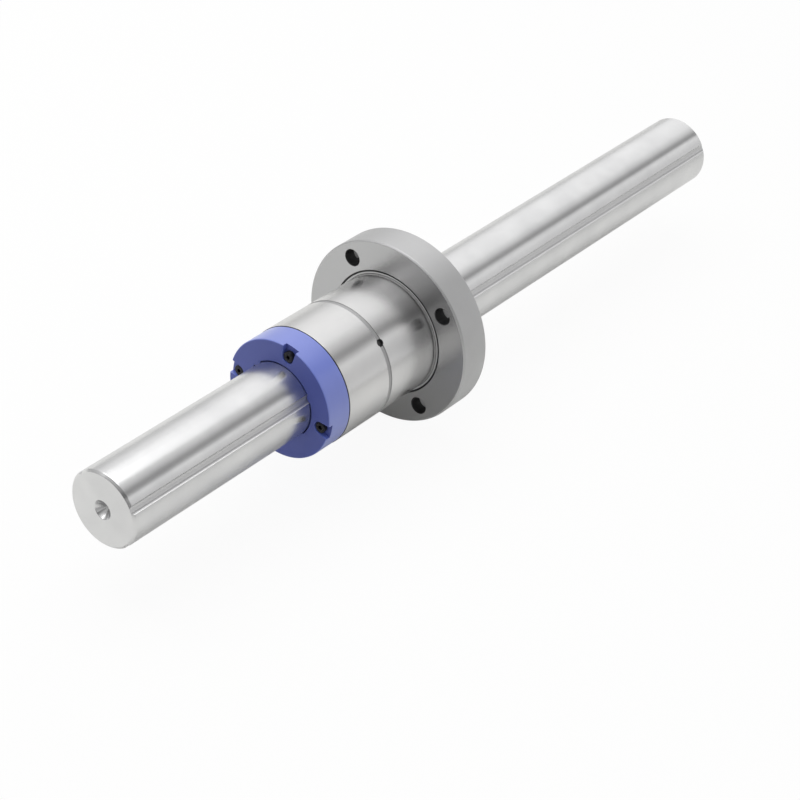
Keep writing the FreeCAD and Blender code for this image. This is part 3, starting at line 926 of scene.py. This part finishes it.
    def in_drilled_hole(self, centre: Vector, radius: float) -> bool:
        """Tell whether a point, in millimetres, is on the wall of a bolt hole or an oil hole."""
        angle = math.degrees(math.atan2(centre.z, centre.y))
        within = SEAT_MARGIN < centre.x < NUT.flange_thickness - SEAT_MARGIN
        if within and abs(radius - self.bolt_circle) < 10:
            off = (angle - 45) % 90
            side = self.bolt_circle * math.radians(min(off, 90 - off))
            from_bolt = math.hypot(side, radius - self.bolt_circle)
            bare = from_bolt < self.bolt_radius + WALL_MARGIN and centre.x > self.scale_depth
            return from_bolt < self.counterbore_radius + 0.6 and not bare
        across = Vector((0, centre.y, centre.z))
        near = LOOPS.ball_diameter * 0.55
        if any((across - LOOPS.returned(row) * MM_IN_METRE).length < near for row in LOOPS.rows):
            return True
        if LOOPS.return_radius < radius < NUT.barrel_radius - 0.01:
            off = (angle - self.oil_hole_angle) % 180
            side = radius * math.radians(min(off, 180 - off))
            return math.hypot(side, centre.x + self.groove_place) < self.oil_hole_radius + self.hole_chamfer
        return False

    def build(self, finishes: Finishes) -> None:
        """Make the nut's piece, with a ground barrel, a turned flange and dark drilled holes."""
        body = self.mesh()
        for face in body.faces:
            face.material_index = self.skin(face).value
        skins = [finishes.barrel, finishes.flange, finishes.scale, finishes.seat, finishes.groove,
                 finishes.collar]
        add_piece("flanged_nut", body, skins, "nut", ["nut_body"])


@dataclass
class EndCap:
    """A moulded end cap: it turns the balls round, wipes the tracks and holds four screws."""

    end: End
    radius: float = 39.7
    bore: float = 25.5
    rim_round: float = 0.9
    mouth_round: float = 0.4
    tongue_clearance: float = 0.3
    tongue_start: float = 9.0
    screw_circle: float = 33.0
    screw_hole: float = 2.2
    pocket_radius: float = 4.2
    pocket_depth: float = 3.2
    pocket_mouth: float = 10.0
    pocket_flare: float = 0.12

    def ring(self) -> BMesh:
        """Turn the plain ring, with its rim and its mouth eased."""
        far = NUT.cap_length
        return turned([
            Corner(0.0, self.bore, self.mouth_round / 2),
            Corner(0.0, self.radius, self.mouth_round / 2),
            Corner(far, self.radius, self.rim_round),
            Corner(far, self.bore, self.mouth_round),
        ])

    def tongues(self) -> BMesh:
        """Make the four tongues that reach into the shaft's tracks."""
        tongue = rod(LOOPS.track_arc - self.tongue_clearance, self.tongue_start, NUT.cap_length, 64)
        rim = [edge for edge in tongue.edges
               if all(vert.co.x > mm(NUT.cap_length) - MERGE_DISTANCE for vert in edge.verts)]
        ease_edges(tongue, rim, self.mouth_round)
        return copies(tongue, LOOPS.at_loaded())

    def turn_tool(self, row: Row) -> BMesh:
        """Make the tool for the half circle in which one row's balls turn back."""
        start, end = LOOPS.loaded(row), LOOPS.returned(row)
        middle = (start + end) / 2
        across = (end - start).normalized()
        axis = Vector((1, 0, 0)).cross(across)
        tool = bmesh.new()
        bmesh.ops.create_circle(tool, cap_ends=False, segments=32, radius=mm(LOOPS.pass_radius))
        frame_of_tube = Matrix((across, axis, Vector((1, 0, 0)))).transposed().to_4x4()
        placed(tool, Matrix.Translation(start) @ frame_of_tube)
        bmesh.ops.spin(tool, geom=tool.verts[:] + tool.edges[:], cent=middle, axis=axis,
                       angle=math.pi, steps=32, use_merge=False)
        bmesh.ops.holes_fill(tool, edges=[edge for edge in tool.edges if edge.is_boundary])
        bmesh.ops.recalc_face_normals(tool, faces=tool.faces)
        return tool

    def pocket_tool(self) -> BMesh:
        """Make the keyhole pocket of one screw head, open through the rim, with its hole."""
        floor = NUT.cap_length - self.pocket_depth
        top = NUT.cap_length + 1.0
        round_part = raised(rod(self.pocket_radius, floor, top, 64), self.screw_circle)
        flare = bmesh.new()
        outside = self.radius + 2.0
        spread = self.pocket_mouth / 2 + (outside - self.radius) * self.pocket_flare
        ring = [flare.verts.new((mm(floor), mm(side), mm(height))) for side, height in (
            (-self.pocket_radius, self.screw_circle), (self.pocket_radius, self.screw_circle),
            (spread, outside), (-spread, outside))]
        base = flare.faces.new(ring)
        grown = bmesh.ops.extrude_face_region(flare, geom=[base])
        moved = [item for item in grown["geom"] if isinstance(item, BMVert)]
        bmesh.ops.translate(flare, verts=moved, vec=(mm(top - floor), 0, 0))
        bmesh.ops.recalc_face_normals(flare, faces=flare.faces)
        return combine(round_part, [("UNION", flare)])

    def mesh(self) -> BMesh:
        """Mould the cap at X = 0, facing +X, and move it to its end of the nut."""
        bore = raised(rod(self.screw_hole, -1.0, NUT.cap_length, 32), self.screw_circle)
        tools = [
            ("UNION", self.tongues()),
            ("DIFFERENCE", copies(self.pocket_tool(), round_about(4))),
            ("DIFFERENCE", copies(bore, round_about(4))),
        ]
        tools += [("DIFFERENCE", self.turn_tool(row)) for row in LOOPS.rows]
        return placed(combine(self.ring(), tools), self.end.place(NUT))

    def build(self, finishes: Finishes) -> None:
        """Make the cap's piece: its rim is smooth, and its flat faces are rougher and carry a darker copy
        of the blue as painted shade.
        """
        node = f"end_cap_{self.end.value}"
        cap = self.mesh()
        for face in cap.faces:
            face.material_index = 1 if abs(face.normal.x) > ALONG_SHARE else 0
        add_piece(f"moulded_cap_{self.end.value}", cap, [finishes.cap, finishes.cap_face], "nut",
                  [node])


@dataclass
class CapScrews:
    """The four low head cap screws of one cap."""

    end: End
    circle: float = 33.0
    head_radius: float = 3.5
    head_height: float = 2.8
    shank_radius: float = 2.0
    length: float = 25.0
    seat: float = 15.8
    key_width: float = 2.5
    key_depth: float = 1.6
    mouth_slope: float = 0.4
    mouth_rise: float = 0.2
    mouth_spread: float = 0.3
    edge_round: float = 0.35

    def screw(self) -> BMesh:
        """Turn one screw along X and broach its socket."""
        tip = self.seat - self.length
        top = self.seat + self.head_height
        blank = turned([
            Corner(tip, 0.0),
            Corner(tip, self.shank_radius, self.edge_round),
            Corner(self.seat, self.shank_radius),
            Corner(self.seat, self.head_radius, self.edge_round / 2),
            Corner(top, self.head_radius, self.edge_round),
            Corner(top, 0.0),
        ], steps=64, closed=False)
        corner = self.key_width / 2 / math.cos(math.radians(30))
        key = rod(corner, top - self.key_depth, top + 1.0, 6)
        mouth = turned([
            Corner(top - corner * self.mouth_slope, 0.0),
            Corner(top + self.mouth_rise, corner + self.mouth_spread),
            Corner(top + self.mouth_rise, 0.0),
        ], steps=64, closed=False)
        return combine(blank, [("DIFFERENCE", key), ("DIFFERENCE", mouth)])

    def build(self, finishes: Finishes) -> None:
        """Make the piece that holds this cap's four screws."""
        screw = raised(self.screw(), self.circle)
        group = placed(copies(screw, round_about(4)), self.end.place(NUT))
        add_piece(f"socket_screws_{self.end.value}", group, [finishes.screw], "nut",
                  [f"cap_screws_{self.end.value}"])


@dataclass
class BallLoops:
    """The inner pieces, which keep their modelled shapes: balls, retainers and turn guides."""

    def build(self, finishes: Finishes) -> None:
        """Give every inner piece its finish."""
        for row in LOOPS.rows:
            self.dress(f"ball_retainer_{row.name}", finishes.retainer)
            self.dress(f"loaded_balls_{row.name}", finishes.ball)
            self.dress(f"return_balls_{row.name}", finishes.ball)
            for end in End:
                self.dress(f"turn_guide_{end.value}_{row.name}", finishes.cap)

    def dress(self, node: str, material: Material) -> None:
        """Assign a material to a modelled node."""
        piece = bpy.data.objects[node]
        if not piece.material_slots:
            piece.data.materials.append(material)
        for slot in piece.material_slots:
            slot.material = material
        LOG.info("%s: dressed in %s", node, material.name)


@dataclass(frozen=True)
class Lamp:
    """One soft square lamp that faces the part: place and width in metres, power in watts."""

    name: str
    place: tuple[float, float, float]
    width: float
    power: float

    def hang(self) -> None:
        """Hang the lamp."""
        data = bpy.data.lights.new(self.name, "AREA")
        data.shape = "RECTANGLE"
        data.size = self.width
        data.size_y = self.width
        data.energy = self.power
        add_object(self.name, data).matrix_world = facing(Vector(self.place), Vector((0, 0, 0)))


@dataclass
class Studio:
    """A white studio: pale floor, soft lamps and the camera of the portrait.

    The room's light is a tent. tent lists its levels by the angle about the shaft, in degrees
    from +Y towards +Z; below the floor it doesn't matter. tent_ends are its levels at the near
    and the far end, and near_sides those of the camera's right and left. Towards the far end
    the bands turn by tent_bend degrees. The spans are directions, from -1 to 1.
    """

    camera_place: tuple[float, float, float] = (-0.96945, -0.57341, 0.87512)
    camera_aim: tuple[float, float, float] = (-0.02202, -0.03512, -0.02109)
    camera_roll: float = 14.53
    focal_length: float = 100.99
    sensor_width: float = 36.0
    view_depth: float = 50.0
    floor_size: float = 12.0
    floor_share: float = 0.93
    tent_ends: tuple[float, float] = (0.2, 1.46)
    near_sides: tuple[float, float] = (1.6, 1.7)
    side_span: tuple[float, float] = (-0.6, 0.6)
    near_span: tuple[float, float] = (-0.6, 0.0)
    tent_bend: float = 13.0
    bend_span: tuple[float, float] = (0.6, 0.78)
    tent: tuple[tuple[float, float], ...] = (
        (0, 0.62), (10, 0.64), (28, 0.84), (50, 0.86), (72, 0.82), (90, 0.77), (108, 0.55), (119, 0.26),
        (128, 0.25), (134, 0.84), (143, 0.7), (153, 0.58), (168, 0.56), (180, 0.68))
    lamps: tuple[Lamp, ...] = (
        Lamp("top_softbox", (-0.05, 0.5, 1.3), 1.2, 9.3),
        Lamp("side_softbox", (-0.75, 1.05, 1.1), 0.7, 1.2))

    def camera(self) -> None:
        """Set the camera at the picture's viewing angle."""
        data = bpy.data.cameras.new("portrait_camera")
        data.lens = self.focal_length
        data.sensor_width = self.sensor_width
        data.clip_end = self.view_depth
        camera = add_object("portrait_camera", data)
        roll = Matrix.Rotation(math.radians(self.camera_roll), 4, "Z")
        camera.matrix_world = facing(Vector(self.camera_place), Vector(self.camera_aim)) @ roll
        bpy.context.scene.camera = camera

    def world(self) -> None:
        """Surround the part with a soft tent of light and show white behind it."""
        world = bpy.data.worlds.new("white_studio")
        world.use_nodes = True
        tree = world.node_tree
        tree.nodes.clear()
        rays = add_node(tree, "ShaderNodeLightPath")
        seen = add_node(tree, "ShaderNodeBackground", None, {"Color": WHITE, "Strength": 1.0})
        split = add_node(tree, "ShaderNodeSeparateXYZ", None, {
            "Vector": add_node(tree, "ShaderNodeTexCoord").outputs["Generated"]})
        along, across, up = (split.outputs[axis] for axis in "XYZ")
        bend = ranged(tree, along, self.bend_span, (0.0, math.radians(self.tent_bend)))
        angle = maths(tree, "ADD", maths(tree, "ARCTAN2", up, across), bend)
        tent = add_node(tree, "ShaderNodeValToRGB", None, {
            "Fac": maths(tree, "DIVIDE", angle, math.pi, clamp=True)})
        for number, (degrees, level) in enumerate(self.tent):
            stop = tent.color_ramp.elements[number] if number < 2 else tent.color_ramp.elements.new(1.0)
            stop.position = degrees / 180
            stop.color = (level, level, level, 1.0)
        sides = add_node(tree, "ShaderNodeMix", {"data_type": "FLOAT"}, {
            "Factor": ranged(tree, along, self.near_span, (0.0, 1.0)),
            "A": ranged(tree, across, self.side_span, self.near_sides), "B": 1.0})
        fall = ranged(tree, along, (-1.0, 1.0), self.tent_ends)
        room = add_node(tree, "ShaderNodeBackground", None, {
            "Color": tent.outputs["Color"],
            "Strength": maths(tree, "MULTIPLY", fall, sides.outputs["Result"])})
        choice = add_node(tree, "ShaderNodeMixShader", None, {
            "Fac": rays.outputs["Is Camera Ray"], 1: room.outputs["Background"],
            2: seen.outputs["Background"]})
        add_node(tree, "ShaderNodeOutputWorld", None, {"Surface": choice.outputs["Shader"]})
        bpy.context.scene.world = world

    def floor(self) -> None:
        """Lay a pale floor under the part."""
        bm = bmesh.new()
        bmesh.ops.create_grid(bm, x_segments=1, y_segments=1, size=self.floor_size / 2)
        low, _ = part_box("nut_body")
        bmesh.ops.translate(bm, verts=bm.verts, vec=(0, 0, low[2]))
        floor = add_mesh("studio_floor", bm)
        floor.data.materials.append(self.floor_material())

    def floor_material(self) -> Material:
        """Make the floor's paper: pale grey to the light, and mostly white to the camera."""
        material = new_material("studio_paper")
        tree = material.node_tree
        rays = add_node(tree, "ShaderNodeLightPath")
        paper = add_node(tree, "ShaderNodeBsdfPrincipled", None, {
            "Base Color": linear("#f3f3f1"), "Roughness": 0.9})
        white = add_node(tree, "ShaderNodeEmission", None, {"Color": WHITE, "Strength": 1.0})
        mixed = add_node(tree, "ShaderNodeMixShader", None, {
            "Fac": maths(tree, "MULTIPLY", rays.outputs["Is Camera Ray"], self.floor_share),
            1: paper.outputs["BSDF"], 2: white.outputs["Emission"]})
        add_node(tree, "ShaderNodeOutputMaterial", None, {"Surface": mixed.outputs["Shader"]})
        return material

    def build(self) -> None:
        """Set up the whole studio."""
        self.camera()
        self.world()
        self.floor()
        for lamp in self.lamps:
            lamp.hang()
        bpy.context.scene.view_settings.view_transform = "Standard"


def main() -> None:
    """Build the studio and every piece of the part, in order."""
    logging.basicConfig(level=logging.INFO)
    Studio().build()
    finishes = Finishes.make()
    SplineShaft().build(finishes)
    FlangedNut().build(finishes)
    for end in End:
        EndCap(end).build(finishes)
        CapScrews(end).build(finishes)
    BallLoops().build(finishes)


if __name__ == "__main__":
    main()
